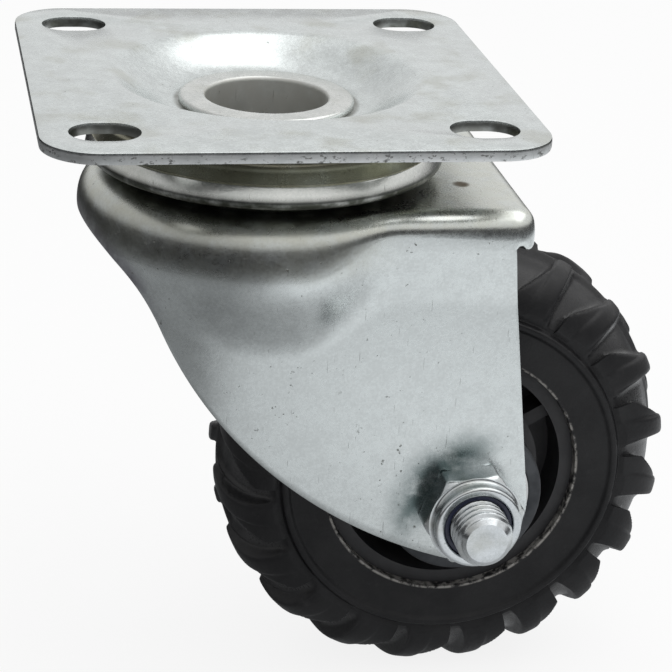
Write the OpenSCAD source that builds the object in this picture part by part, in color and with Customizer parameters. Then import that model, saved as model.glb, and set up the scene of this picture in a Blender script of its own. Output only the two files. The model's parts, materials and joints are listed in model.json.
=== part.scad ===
// Swivel castor with a square top plate, a pressed trailing fork and a lugged rubber wheel.
// Frame: the origin is the middle of the plate's top face, +Z points up into what it is bolted to,
// the fork trails towards +X and the axle runs along Y. All sizes are in millimetres.

/* [Top plate] */
// Length of the plate along the trail
plate_l = 98; // [90:1:130]
// Width of the plate along the axle
plate_w = 102; // [92:1:130]
// Sheet thickness of the plate
plate_t = 2.5; // [2:0.1:3]
// Radius of the plate's corners
plate_corner_r = 11; // [5:0.5:16]
// Spacing of the fixing slots along the trail
slot_space_x = 73; // [70:0.5:80]
// Spacing of the fixing slots along the axle
slot_space_y = 76; // [72:0.5:84]
// Length of a fixing slot from end to end
slot_l = 13.5; // [12:0.5:18]
// Width of a fixing slot
slot_w = 11; // [8:0.5:11.5]
// Radius at which the pressed dish starts
dish_r = 32; // [30:0.5:33]
// Radius of the dish's flat floor
dish_floor_r = 20; // [19:0.5:22]
// Depth of the dish
dish_depth = 6; // [5:0.1:7]

/* [Swivel head] */
// Outer radius of the hollow kingpin
kingpin_r = 15; // [14:0.1:16]
// Wall thickness of the hollow kingpin
kingpin_wall = 2.4; // [1.5:0.1:4]
// Radius of the flared ring on top of the kingpin
kingpin_flare_r = 18; // [17:0.1:19]
// Thickness of the flared ring
kingpin_flare_t = 1.5; // [1:0.1:2.5]
// Radius of the kingpin's riveted foot
kingpin_foot_r = 19; // [17:0.1:22]
// Thickness of the riveted foot
kingpin_foot_t = 2; // [1.5:0.1:3]
// Outer radius of the upper race
race_r = 36.3; // [35:0.1:37]
// Narrowest radius of the upper race's neck
race_neck_r = 32.5; // [31:0.1:34]
// Height of the upper race under the plate's dish
race_h = 5.1; // [4.8:0.1:5.4]
// Radius of the rounded section of the dust ring
dust_tube_r = 2.6; // [2:0.1:3]
// Distance from the face of a race to the middle of its balls
track_drop = 1.8; // [1.6:0.1:2]
// Distance from the middle of the upper balls to the face of the crown's raised land
land_drop = 2.2; // [2:0.1:2.3]
// Radius of the upper balls
upper_ball_r = 3.3; // [2.8:0.05:3.5]
// Number of upper balls
upper_ball_n = 22; // [12:1:23]
// Radius of the circle the upper balls run on
upper_pitch_r = 27; // [26:0.1:27.5]
// Radius of the lower balls
lower_ball_r = 2.5; // [2:0.05:2.8]
// Number of lower balls
lower_ball_n = 20; // [12:1:21]
// Radius of the circle the lower balls run on
lower_pitch_r = 20; // [19.5:0.1:21]
// Outer radius of the lower race
lower_race_r = 25; // [24:0.1:27]
// Thickness of the lower race
lower_race_t = 3; // [2.5:0.1:4]

/* [Fork] */
// Sheet thickness of the fork
fork_t = 2.5; // [2.2:0.1:2.8]
// Depth of the crown's shoulder below the plate's top face
crown_drop = 19.3; // [19:0.1:20.5]
// Radius of the round front of the crown
crown_r = 38.5; // [37.5:0.1:41]
// Outer radius of the bend round the crown
crown_bend_r = 8; // [5:0.1:9]
// Height over which the crown's side swings in to the legs
swing_h = 14; // [8:0.5:18]
// Distance by which that swing ends inside the legs' faces
swing_tuck = 2; // [1:0.1:3]
// Depth of the nose's front edge below the plate's top face
nose_drop = 28.4; // [27.5:0.1:32]
// Radius of the hollow between the nose and the legs' front edges
nose_hollow_r = 36; // [16:0.5:60]
// Half width of the crown behind the kingpin
rear_half = 33.5; // [33:0.1:36]
// Outer radius of the bend along the straight part of the crown
rear_bend_r = 3; // [3:0.1:6]
// Height over which the straight part steps in to the legs
rear_step_h = 4; // [3:0.5:8]
// Distance from the kingpin's axis to the crown's rear face
rear_x = 51; // [48:0.5:53]
// Outer radius of the bend into the rear flange
rear_corner_r = 4; // [3:0.1:5]
// Depth of the rear flange below the plate's top face
rear_drop = 28.5; // [27.5:0.1:30]
// Distance from the middle to the outer face of a leg
leg_y = 32; // [31.8:0.1:33]
// Radius of the rounded end of a leg round the axle
leg_eye_r = 12.6; // [11.5:0.1:14]
// Lean of the legs' rear edges from upright, in degrees
leg_rear_lean = 7.2; // [6:0.1:10]

/* [Axle] */
// Distance of the axle behind the kingpin's axis
axle_trail = 41; // [36:0.5:44]
// Depth of the axle below the plate's top face
axle_drop = 84.8; // [84:0.1:92]
// Radius of the axle bolt
bolt_r = 6; // [5:0.5:6]
// Distance across the flats of the bolt head and the nut
hex_af = 19; // [16:0.5:19]
// Height of the bolt head
bolt_head_h = 7.5; // [6:0.1:9]
// Length of bolt that stands out of the nut
bolt_out = 6.8; // [3:0.1:9]
// Pitch of the bolt's thread
thread_pitch = 1.75; // [1.25:0.25:2]
// Height of the nut's hexagon
nut_hex_h = 6.4; // [5:0.1:10]
// Height of the nut's collar over the hexagon
nut_collar_h = 3; // [2.9:0.1:5]
// Turn of the nut's hexagon, in degrees
nut_turn = 4; // [0:1:59]
// Radius of the nut's collar
nut_collar_r = 8.6; // [8.2:0.1:9]
// Thickness of a thrust washer
washer_t = 2; // [1:0.1:3]
// Radius of a thrust washer
washer_r = 8.4; // [8:0.1:8.6]
// Wall thickness of the spacer tube between the bearings
sleeve_wall = 2; // [1.5:0.1:2.4]

/* [Wheel] */
// Radius of the wheel over the lugs
wheel_r = 50; // [48:0.5:52]
// Width of the tyre
tyre_w = 32; // [28:0.5:38]
// Radius of the tyre's bore
tyre_bore_r = 27.5; // [26:0.1:29]
// Radius of the raised rim line on the sidewall
rim_line_r = 36.3; // [34:0.1:37]
// Height of the raised rim line
rim_line_h = 0.7; // [0.3:0.1:1]
// Number of lugs on each side
lug_n = 20; // [14:1:24]
// Height of the lugs over the casing in the middle
lug_h = 2.5; // [1.5:0.1:6]
// Width of a lug at its top, square to its run
lug_top_w = 3.2; // [2:0.1:6]
// Width of a lug at its foot, square to its run
lug_foot_w = 11; // [7:0.1:11]
// Share of that widening that lies on a lug's sloping flank
lug_ramp = 0.75; // [0.5:0.05:0.9]
// Slant of a lug from the axle's direction, in degrees
lug_slant = 22; // [0:1:45]
// Turn of the tread about the axle, in degrees
lug_turn = 8; // [0:0.5:18]
// Outer radius of the wheel's hub tube
hub_r = 17; // [16.5:0.1:18]
// Thickness of the wheel's disc
disc_t = 9; // [6:0.5:14]
// Number of ribs on each face of the disc
rib_n = 6; // [3:1:8]
// Outer radius of a wheel bearing
bearing_r = 14; // [13.8:0.1:14.4]
// Width of a wheel bearing
bearing_w = 8; // [7.5:0.5:10]
// Radius of a bearing's balls
bearing_ball_r = 2.4; // [2:0.05:2.5]
// Number of balls in a bearing
bearing_ball_n = 8; // [6:1:10]

/* [Clearances] */
// Gap between the balls and the rings they run in
ball_gap = 0.3; // [0.25:0.05:0.35]
// Gap between the kingpin and the fork that turns round it
swivel_gap = 0.6; // [0.4:0.1:0.9]
// Gap between the turning and the still rings of a wheel bearing
shield_gap = 0.4; // [0.3:0.05:0.6]
// Gap between the turning hub's end and the leg
hub_gap = 2.3; // [1:0.1:2.5]
// Gap of a fit between pieces that stay together
fit_gap = 0.05; // [0.02:0.01:0.08]

/* [Hidden] */
$fn = 96;
eps = 0.01;
overlap = 0.02;
kingpin_bore_r = kingpin_r - kingpin_wall;
race_low = -(dish_depth + plate_t + race_h);
ball_z = race_low - track_drop;
land_top = ball_z - land_drop;
land_low = land_top - fork_t;
land_r = upper_pitch_r + 4.2;
lower_ball_z = land_low - track_drop;
lower_race_top = lower_ball_z - track_drop;
lower_race_low = lower_race_top - lower_race_t;
dust_r = race_r + 0.9;
dust_mid_r = dust_r - dust_tube_r;
dust_seat_r = dust_mid_r - dust_tube_r - fit_gap;
dust_top = race_low + 1.6;
crown_top = -crown_drop;
bend_low = crown_top - crown_bend_r;
swing_low = bend_low - swing_h;
rear_low = crown_top - rear_bend_r;
leg_in = leg_y - fork_t;
reach = axle_drop + wheel_r;
arc_centre = [axle_trail + 23.7, -axle_drop + 82.9];
arc_r = norm(arc_centre - [axle_trail, -axle_drop]) + leg_eye_r - overlap;
casing_r = wheel_r - lug_h;
tyre_half = tyre_w / 2;
tread_flat = 1.5;
casing_side_r = rim_line_r + 1.8;
hub_half = leg_in - hub_gap;
bearing_mid = leg_in - washer_t - bearing_w / 2;
bearing_pitch_r = (bearing_r + bolt_r) / 2;
inner_ring_r = bearing_pitch_r - 1.35;
outer_ring_r = bearing_pitch_r + 1.35;
bolt_end = leg_y + nut_hex_h + nut_collar_h + bolt_out;
thread_depth = 0.61 * thread_pitch;

// Smooth step from 0 to 1
function ease(s) = s * s * (3 - 2 * s);

// Height of the dish's upper surface at a radius
function dish_z(r) = -dish_depth * (1 - ease((r - dish_floor_r) / (dish_r - dish_floor_r)));

// Points along the dish's slope, from the floor to the rim, lowered by d
function dish_points(d) = [for (i = [0:10]) let(r = dish_floor_r + (dish_r - dish_floor_r) * i / 10) [r, dish_z(r) - d]];

// Points of a side that steps in from half width a to half width b between heights top and low
function joggle_points(a, b, top, low) =
    [for (i = [0:8]) let(s = i / 8) [a - (a - b) * ease(s), top + (low - top) * s]];

// Radius of the lugs' outer envelope at a distance z from the wheel's middle plane, level in the middle
function envelope_r(z) = let(s = max(abs(z) - tread_flat, 0) / (tyre_half - tread_flat))
    casing_side_r + 0.9 + (wheel_r - casing_side_r - 0.9) * sqrt(1 - pow(s, 3));

// Radius of the casing under the lugs
function casing_z_r(z) = casing_r - (casing_r - casing_side_r) * pow(abs(z) / (tyre_half - 0.5), 2.5);

module on_axle() {
    translate([axle_trail, 0, -axle_drop])
        rotate([90, 0, 0])
            children();
}

module far_side() {
    mirror([0, 0, 1])
        children();
}

module ring_of_balls(n, pitch_r, ball_r) {
    for (i = [0:n - 1])
        rotate([0, 0, 360 * i / n])
            translate([pitch_r, 0, 0])
                sphere(r = ball_r, $fn = 32);
}

module ball_groove(pitch_r, ball_r) {
    rotate_extrude()
        translate([pitch_r, 0])
            circle(r = ball_r + ball_gap, $fn = 48);
}

module plate_outline() {
    flat_l = plate_l - 2 * plate_corner_r;
    flat_w = plate_w - 2 * plate_corner_r;
    square([plate_l, flat_w], center = true);
    square([flat_l, plate_w], center = true);
    for (x = [-1, 1], y = [-1, 1])
        translate([x * flat_l / 2, y * flat_w / 2])
            circle(r = plate_corner_r);
}

module slot_outline() {
    run = (slot_l - slot_w) / 2;
    square([2 * run, slot_w], center = true);
    for (x = [-1, 1])
        translate([x * run, 0])
            circle(r = slot_w / 2);
}

module top_plate() {
    color("lightsteelblue")
    difference() {
        union() {
            translate([0, 0, -plate_t])
                linear_extrude(plate_t)
                    difference() {
                        plate_outline();
                        circle(r = dish_r);
                        for (x = [-1, 1], y = [-1, 1])
                            translate([x * slot_space_x / 2, y * slot_space_y / 2])
                                slot_outline();
                    }
            rotate_extrude()
                polygon(concat(dish_points(0), [[dish_r + 1, 0], [dish_r + 1, -plate_t]],
                    [for (i = [10:-1:0]) dish_points(plate_t)[i]],
                    [[kingpin_r + fit_gap, -dish_depth - plate_t], [kingpin_r + fit_gap, -dish_depth]]));
        }
    }
}

module upper_race() {
    rise = [for (i = [0:10]) dish_points(plate_t + fit_gap)[i]];
    color("darkkhaki")
    difference() {
        rotate_extrude()
            polygon(concat(rise, [[dish_r + 1.2, -plate_t - fit_gap], [race_neck_r + 0.2, -plate_t - 2.5],
                [race_neck_r, -plate_t - 4], [race_neck_r + 0.7, dust_top + 2.4],
                [race_r - 1.2, dust_top + 0.8], [race_r, dust_top + fit_gap],
                [dust_seat_r, dust_top + fit_gap], [dust_seat_r, race_low], [dish_floor_r, race_low]]));
        translate([0, 0, ball_z])
            ball_groove(upper_pitch_r, upper_ball_r);
    }
}

module dust_ring() {
    color("gainsboro")
    rotate_extrude() {
        translate([dust_mid_r, dust_top - dust_tube_r])
            circle(r = dust_tube_r);
        translate([dust_mid_r - 1.4, dust_top - dust_tube_r])
            square([2.8, dust_tube_r]);
    }
}

module kingpin() {
    flare_top = -dish_depth + kingpin_flare_t;
    color("silver")
    rotate_extrude()
        polygon([[kingpin_bore_r, flare_top - 0.5], [kingpin_bore_r + 0.5, flare_top],
            [kingpin_flare_r - 0.6, flare_top], [kingpin_flare_r, flare_top - 0.6],
            [kingpin_flare_r, -dish_depth], [kingpin_r, -dish_depth], [kingpin_r, lower_race_low],
            [kingpin_foot_r, lower_race_low], [kingpin_foot_r, lower_race_low - kingpin_foot_t + 0.6],
            [kingpin_foot_r - 0.6, lower_race_low - kingpin_foot_t],
            [kingpin_bore_r, lower_race_low - kingpin_foot_t]]);
}

module lower_race() {
    color("slategray")
    difference() {
        rotate_extrude()
            polygon([[kingpin_r + fit_gap, lower_race_low], [lower_race_r - 0.8, lower_race_low],
                [lower_race_r, lower_race_low + 0.8], [lower_race_r, lower_race_top],
                [kingpin_r + fit_gap, lower_race_top]]);
        translate([0, 0, lower_ball_z])
            ball_groove(lower_pitch_r, lower_ball_r);
    }
}

module upper_balls() {
    color("whitesmoke")
    translate([0, 0, ball_z])
        ring_of_balls(upper_ball_n, upper_pitch_r, upper_ball_r);
}

module lower_balls() {
    color("whitesmoke")
    translate([0, 0, lower_ball_z])
        ring_of_balls(lower_ball_n, lower_pitch_r, lower_ball_r);
}

// Half section of the crown: a bend, then a side that swings in to the legs, drawn inwards by d
module crown_section(d) {
    r = crown_r - d;
    bend = crown_bend_r - d;
    top = crown_top - d;
    difference() {
        polygon(concat([[0, swing_low], [0, top], [r, top]],
            joggle_points(r, leg_y - d - swing_tuck, bend_low, swing_low)));
        translate([r - bend, top - bend])
            difference() {
                square([bend + 1, bend + 1]);
                circle(r = bend);
            }
    }
}

// Cross section of the crown behind the kingpin, drawn inwards by d
module rear_section(d) {
    bend = rear_bend_r - d;
    half = rear_half - d;
    side = joggle_points(half, leg_y - d, rear_low, rear_low - rear_step_h);
    difference() {
        polygon(concat([[half, crown_top - d]], side, [[leg_y - d, -reach], [d - leg_y, -reach]],
            [for (i = [8:-1:0]) [-side[i][0], side[i][1]]], [[-half, crown_top - d]]));
        for (s = [0, 1])
            mirror([s, 0])
                translate([half - bend, crown_top - d - bend])
                    difference() {
                        square([bend + 1, bend + 1]);
                        circle(r = bend);
                    }
    }
}

// Stands a drawing of Y across and Z up along X
module along_x(len) {
    rotate([90, 0, 90])
        linear_extrude(len)
            children();
}

// Stands a drawing of X across and Z up along Y, on both sides of the middle
module along_y(len) {
    rotate([90, 0, 0])
        linear_extrude(len, center = true)
            children();
}

// The crown, the legs under its round front and the straight part behind it, drawn inwards by d
module fork_body(d) {
    rotate_extrude()
        crown_section(d);
    intersection() {
        translate([0, 0, -reach])
            cylinder(r = crown_r - d, h = reach + bend_low);
        translate([-reach, d - leg_y, -reach])
            cube([reach + crown_r / 4, 2 * (leg_y - d), reach]);
    }
    along_x(rear_x + rear_bend_r)
        rear_section(d);
}

// Side view of the fork: crown, nose, leg and its round end
module fork_profile() {
    eye = [axle_trail, -axle_drop];
    lean = leg_rear_lean;
    bend_drop = 24;
    nose = [-crown_r - 1, -nose_drop];
    nose_len = norm(nose - arc_centre);
    nose_way = (nose - arc_centre) / nose_len;
    hollow_reach = arc_r + nose_hollow_r - overlap;
    hollow_run = (pow(hollow_reach, 2) - pow(nose_hollow_r, 2) + pow(nose_len, 2)) / (2 * nose_len);
    hollow = arc_centre + nose_way * hollow_run
        + [-nose_way[1], nose_way[0]] * sqrt(pow(hollow_reach, 2) - pow(hollow_run, 2));
    touch = arc_centre + (hollow - arc_centre) * arc_r / hollow_reach;
    rear_touch = eye + (leg_eye_r - overlap) * [cos(lean), sin(lean)];
    rear_top = rear_touch + [-sin(lean), cos(lean)] * (axle_drop - bend_drop);
    notch_z = -rear_drop + 0.6 * fork_t;
    corner_x = rear_x - rear_corner_r;
    // Crown and rear flange
    translate(nose - [2, 0])
        square([crown_r + 3, nose_drop + crown_top + 1]);
    translate([-1, notch_z])
        square([corner_x + 1, crown_top + 1 - notch_z]);
    translate([corner_x - 1, notch_z])
        square([rear_corner_r + 1, crown_top - rear_corner_r - notch_z]);
    translate([corner_x, crown_top - rear_corner_r])
        circle(r = rear_corner_r);
    translate([rear_x - fork_t, -rear_drop])
        square([fork_t, notch_z + rear_drop + 0.5]);
    // Leg: a long front arc that runs into the round end, and a leaning rear edge
    intersection() {
        translate(arc_centre)
            circle(r = arc_r, $fn = 360);
        polygon([[-reach, crown_top - 2], rear_top, rear_touch, eye,
            eye + (eye - arc_centre) * 0.5, [-reach, -reach]]);
    }
    translate(eye)
        circle(r = leg_eye_r);
    difference() {
        polygon([nose + [-2, 1], [0, nose[1] + 1], arc_centre + (touch - arc_centre) * 0.8, touch, hollow]);
        translate(hollow)
            circle(r = nose_hollow_r);
    }
}

module fork() {
    color("lightsteelblue")
    difference() {
        union() {
            intersection() {
                union() {
                    difference() {
                        fork_body(0);
                        fork_body(fork_t);
                    }
                    intersection() {
                        fork_body(0);
                        translate([rear_x - fork_t, -reach, -rear_drop])
                            cube([fork_t, 2 * reach, rear_drop]);
                    }
                }
                along_y(2 * reach)
                    fork_profile();
            }
            // Raised land that carries both ball tracks
            rotate_extrude()
                polygon([[kingpin_r + swivel_gap, land_top], [land_r - 1.5, land_top], [land_r, crown_top],
                    [land_r, crown_top - fork_t + 0.5], [kingpin_r + swivel_gap, crown_top - fork_t + 0.5]]);
        }
        translate([0, 0, crown_top - fork_t - 1])
            cylinder(r = lower_race_r + 1.2, h = land_low - crown_top + fork_t + 1);
        translate([0, 0, -reach])
            cylinder(r = kingpin_r + swivel_gap, h = reach);
        translate([0, 0, ball_z])
            ball_groove(upper_pitch_r, upper_ball_r);
        translate([0, 0, lower_ball_z])
            ball_groove(lower_pitch_r, lower_ball_r);
        on_axle()
            cylinder(r = bolt_r + fit_gap, h = reach, center = true);
    }
}

module axle_bolt() {
    turns = floor((bolt_end - leg_y + 6) / thread_pitch) - 1;
    start = bolt_end - 1.2 - turns * thread_pitch;
    thread = [for (i = [0:turns - 1], k = [0, 1])
        [k == 0 ? bolt_r : bolt_r - thread_depth, start + (i + 0.25 + 0.5 * k) * thread_pitch]];
    color("silver")
    on_axle() {
        rotate_extrude()
            polygon(concat([[0, -leg_y - 1], [bolt_r, -leg_y - 1]], thread,
                [[bolt_r - 0.3, bolt_end - 1.2], [bolt_r - 1.4, bolt_end], [0, bolt_end]]));
        far_side()
            translate([0, 0, leg_y])
                intersection() {
                    cylinder(d = hex_af / cos(30), h = bolt_head_h, $fn = 6);
                    cylinder(r1 = hex_af / 2 + bolt_head_h * 1.5 + 0.2, r2 = hex_af / 2 - 0.2, h = bolt_head_h);
                }
    }
}

module lock_nut() {
    collar_top = leg_y + nut_hex_h + nut_collar_h;
    color("silver")
    on_axle()
        difference() {
            union() {
                translate([0, 0, leg_y])
                    intersection() {
                        rotate([0, 0, nut_turn])
                            cylinder(d = hex_af / cos(30), h = nut_hex_h, $fn = 6);
                        cylinder(r1 = hex_af / 2 + nut_hex_h * 1.5 + 0.1, r2 = hex_af / 2 - 0.3, h = nut_hex_h);
                    }
                rotate_extrude()
                    polygon([[bolt_r, leg_y + 1], [nut_collar_r, leg_y + 1], [nut_collar_r, collar_top - 1.4],
                        [nut_collar_r - 0.4, collar_top - 0.5], [nut_collar_r - 1.2, collar_top],
                        [bolt_r, collar_top]]);
            }
            translate([0, 0, leg_y - 1])
                cylinder(r = bolt_r + fit_gap, h = 20);
            translate([0, 0, collar_top - 2.4])
                cylinder(r = nut_collar_r - 1.4, h = 4);
        }
}

module nut_insert() {
    collar_top = leg_y + nut_hex_h + nut_collar_h;
    color("midnightblue")
    on_axle()
        translate([0, 0, collar_top - 2.4])
            difference() {
                cylinder(r = nut_collar_r - 1.4 - fit_gap, h = 1.8);
                translate([0, 0, -1])
                    cylinder(r = bolt_r + fit_gap, h = 4);
            }
}

module washer() {
    translate([0, 0, leg_in - washer_t])
        difference() {
            cylinder(r = washer_r, h = washer_t);
            translate([0, 0, -1])
                cylinder(r = bolt_r + fit_gap, h = washer_t + 2);
        }
}

module near_washer() {
    color("gainsboro")
    on_axle()
        washer();
}

module far_washer() {
    color("gainsboro")
    on_axle()
        far_side()
            washer();
}

module axle_sleeve() {
    len = 2 * bearing_mid - bearing_w;
    color("darkgray")
    on_axle()
        difference() {
            cylinder(r = bolt_r + fit_gap + sleeve_wall, h = len, center = true);
            cylinder(r = bolt_r + fit_gap, h = len + 2, center = true);
        }
}

module inner_ring() {
    translate([0, 0, bearing_mid])
        difference() {
            cylinder(r = inner_ring_r, h = bearing_w, center = true);
            cylinder(r = bolt_r + fit_gap, h = bearing_w + 2, center = true);
            ball_groove(bearing_pitch_r, bearing_ball_r);
        }
}

module outer_ring() {
    translate([0, 0, bearing_mid])
        difference() {
            cylinder(r = bearing_r, h = bearing_w, center = true);
            cylinder(r = outer_ring_r, h = bearing_w + 2, center = true);
            ball_groove(bearing_pitch_r, bearing_ball_r);
            for (s = [-1, 1])
                translate([0, 0, s * (bearing_w / 2 - 0.4)])
                    cylinder(r = outer_ring_r + 0.7, h = 0.8 + eps, center = true);
        }
}

module shield() {
    translate([0, 0, bearing_mid])
        for (s = [-1, 1])
            translate([0, 0, s * (bearing_w / 2 - 0.5)])
                difference() {
                    cylinder(r = outer_ring_r + 0.7 - fit_gap, h = 0.6, center = true);
                    cylinder(r = inner_ring_r + shield_gap, h = 2, center = true);
                }
}

module near_inner_ring() {
    color("silver")
    on_axle()
        inner_ring();
}

module far_inner_ring() {
    color("silver")
    on_axle()
        far_side()
            inner_ring();
}

module near_outer_ring() {
    color("silver")
    on_axle()
        outer_ring();
}

module far_outer_ring() {
    color("silver")
    on_axle()
        far_side()
            outer_ring();
}

module near_shield() {
    color("dimgray")
    on_axle()
        shield();
}

module far_shield() {
    color("dimgray")
    on_axle()
        far_side()
            shield();
}

module near_balls() {
    color("whitesmoke")
    on_axle()
        translate([0, 0, bearing_mid])
            ring_of_balls(bearing_ball_n, bearing_pitch_r, bearing_ball_r);
}

module far_balls() {
    color("whitesmoke")
    on_axle()
        translate([0, 0, -bearing_mid])
            ring_of_balls(bearing_ball_n, bearing_pitch_r, bearing_ball_r);
}

module hub_tube() {
    color("gray")
    on_axle()
        difference() {
            cylinder(r = hub_r, h = 2 * hub_half, center = true);
            cylinder(r = bearing_r - 2.2, h = 2 * hub_half + 2, center = true);
            for (s = [-1, 1])
                translate([0, 0, s * (bearing_mid + 5)])
                    cylinder(r = bearing_r + fit_gap, h = bearing_w + 10, center = true);
        }
}

module wheel_core() {
    rim_in = tyre_bore_r - 3;
    rim_half = tyre_half - 2;
    boss_r = hub_r + 2.4;
    color("dimgray")
    on_axle()
        difference() {
            union() {
                cylinder(r = boss_r, h = 2 * rim_half, center = true);
                cylinder(r = tyre_bore_r - 1, h = disc_t, center = true);
                difference() {
                    cylinder(r = tyre_bore_r - fit_gap, h = 2 * rim_half, center = true);
                    cylinder(r = rim_in, h = 2 * rim_half + 2, center = true);
                }
                for (i = [0:rib_n - 1])
                    rotate([0, 0, 360 * (i + 0.5) / rib_n])
                        translate([boss_r - 1, -1.5, 3 - rim_half])
                            cube([rim_in - boss_r + 2, 3, 2 * rim_half - 6]);
            }
            cylinder(r = hub_r + fit_gap, h = 2 * rim_half + 2, center = true);
        }
}

// One lug: a bar with a steep and a sloping flank that runs slantwise from the shoulder to the middle
module lug() {
    foot = casing_side_r - 2;
    top = wheel_r + 2;
    mid = (casing_r + casing_side_r) / 2;
    half = lug_top_w / 2;
    ramp = (lug_foot_w - lug_top_w) * lug_ramp;
    steep = lug_foot_w - lug_top_w - ramp;
    translate([0, 0, tyre_half / 2])
        rotate([-lug_slant, 0, 0])
            linear_extrude(tyre_w, center = true)
                polygon([[foot, -half - steep], [mid, -half - 0.4 * steep], [top, -half], [top, half],
                    [casing_r + 0.5, half + 0.1 * ramp], [mid, half + 0.77 * ramp], [foot, half + ramp]]);
}

module lug_row() {
    intersection() {
        for (i = [0:lug_n - 1])
            rotate([0, 0, 360 * i / lug_n])
                lug();
        rotate_extrude()
            polygon(concat([[casing_side_r - 4, tyre_half], [casing_side_r - 4, -1]],
                [for (i = [0:12]) let(z = -1 + (tyre_half + 1) * sin(90 * i / 12)) [envelope_r(z), z]]));
    }
}

module tyre() {
    color("black")
    on_axle()
        rotate([0, 0, lug_turn]) {
            rotate_extrude()
                polygon(concat([[tyre_bore_r, -tyre_half], [tyre_bore_r, tyre_half],
                    [rim_line_r - 1.2, tyre_half], [rim_line_r - 0.5, tyre_half + rim_line_h],
                    [rim_line_r + 0.5, tyre_half + rim_line_h], [rim_line_r + 1, tyre_half - 0.5]],
                    [for (i = [8:-1:-8]) let(z = (tyre_half - 0.5) * i / 8) [casing_z_r(z), z]],
                    [[rim_line_r + 1, 0.5 - tyre_half], [rim_line_r + 0.5, -tyre_half - rim_line_h],
                    [rim_line_r - 0.5, -tyre_half - rim_line_h], [rim_line_r - 1.2, -tyre_half]]));
            lug_row();
            far_side()
                lug_row();
        }
}

top_plate();
upper_race();
dust_ring();
kingpin();
lower_race();
upper_balls();
lower_balls();
fork();
axle_bolt();
lock_nut();
nut_insert();
near_washer();
far_washer();
axle_sleeve();
near_inner_ring();
far_inner_ring();
near_balls();
far_balls();
near_outer_ring();
far_outer_ring();
near_shield();
far_shield();
hub_tube();
wheel_core();
tyre();
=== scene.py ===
"""Looks of a swivel castor: pressed zinc plate and fork, ball race, axle bolt and a lugged rubber wheel."""
import json
import math

import bmesh
import bpy
import numpy as np
from mathutils import Matrix, Vector
from mathutils.geometry import delaunay_2d_cdt


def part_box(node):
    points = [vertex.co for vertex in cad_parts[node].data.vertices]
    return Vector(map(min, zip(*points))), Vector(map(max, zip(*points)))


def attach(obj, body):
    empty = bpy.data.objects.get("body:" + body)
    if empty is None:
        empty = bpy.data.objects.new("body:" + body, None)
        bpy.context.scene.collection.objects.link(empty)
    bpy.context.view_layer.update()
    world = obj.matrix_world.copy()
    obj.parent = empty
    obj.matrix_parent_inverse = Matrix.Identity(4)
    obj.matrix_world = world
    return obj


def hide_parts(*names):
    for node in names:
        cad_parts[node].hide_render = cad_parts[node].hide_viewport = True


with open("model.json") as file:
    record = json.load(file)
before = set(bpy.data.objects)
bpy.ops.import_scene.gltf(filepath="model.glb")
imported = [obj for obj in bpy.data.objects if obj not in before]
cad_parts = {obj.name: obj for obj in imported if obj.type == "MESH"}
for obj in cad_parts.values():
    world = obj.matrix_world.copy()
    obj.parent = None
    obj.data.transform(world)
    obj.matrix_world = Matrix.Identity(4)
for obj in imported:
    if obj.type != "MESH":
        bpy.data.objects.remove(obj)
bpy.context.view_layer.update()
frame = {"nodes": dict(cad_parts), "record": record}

MM = 0.001


# Sizes, in millimetres

def span(node):
    """Low and high corners of a CAD node's box, in millimetres."""
    low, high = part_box(node)
    return np.array(low) / MM, np.array(high) / MM


joints = {joint["name"]: joint for joint in frame["record"]["behaviour"]["joints"]}
AXLE_X, _, AXLE_Z = np.array(joints["wheel_spin"]["pos_m"]) / MM
WHEEL_R = span("tyre")[1][0] - AXLE_X
FLOOR_Z = AXLE_Z - WHEEL_R
FIT = 0.05  # gap between pieces that touch

PLATE_L, PLATE_W = 2 * span("top_plate")[1][:2]
PLATE_T = 2.5
PLATE_CORNER_R = 11
SLOT_SPACE = np.array([73, 76])
SLOT_L = 13.5
SLOT_W = 11
DISH_R = 32
DISH_FLOOR_R = 20
DISH_DEPTH = 6
PLATE_HOLE_R = 15.05

KINGPIN_R = 15
KINGPIN_BORE_R = 12.6
KINGPIN_FLARE_R = 18
KINGPIN_FOOT_R = 19
KINGPIN_FOOT_T = 2
KINGPIN_LOW = span("kingpin")[0][2]
FLARE_TOP = span("kingpin")[1][2]
RACE_LOW = span("upper_race")[0][2]
RACE_R = span("upper_race")[1][0]
DUST_R = span("dust_ring")[1][0]
DUST_TOP = span("dust_ring")[1][2]
DUST_H = 5.2
UPPER_PITCH_R = 27
UPPER_TRACK_R = 3.6
UPPER_TRACK_RISE = 2.2
LOWER_PITCH_R = 20
LOWER_TRACK_R = 2.8
LOWER_TRACK_DROP = 1.8

FORK_T = 2.5
SHEET_EDGE = 0.55
FORK_BORE_R = 15.6
LAND_TOP = -17.6
LAND_R = 30.2
LAND_SLOPE_W = 1.2
CROWN_TOP = -19.3
CROWN_R = 38.5
CROWN_BEND_R = 7.2
CROWN_DRAFT = math.radians(12)
CROWN_SKIRT_H = 6
SWING_H = 20
NOSE_LOW = -28.4
NOSE_TUCK = 1.6
NOSE_SWING_H = 8
HOLLOW_R = 36
REAR_HALF = 33.5
REAR_X = 51
REAR_CORNER_R = 5.5
REAR_BEND_R = 4
REAR_SKIRT_H = 2.6
REAR_STEP_H = 15
REAR_LOW = -28.5
LEAST_SKIRT_H = 0.4
LEG_Y = 32
LEG_EYE_R = 12.6
LEG_LEAN = math.radians(7.2)
LEG_ARC = np.array([23.7, 82.9])
NOTCH_TOP = -26.8
NOTCH_ARCH_H = 1.1
DIMPLE_X, DIMPLE_Y = 38.5, -15

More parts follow.
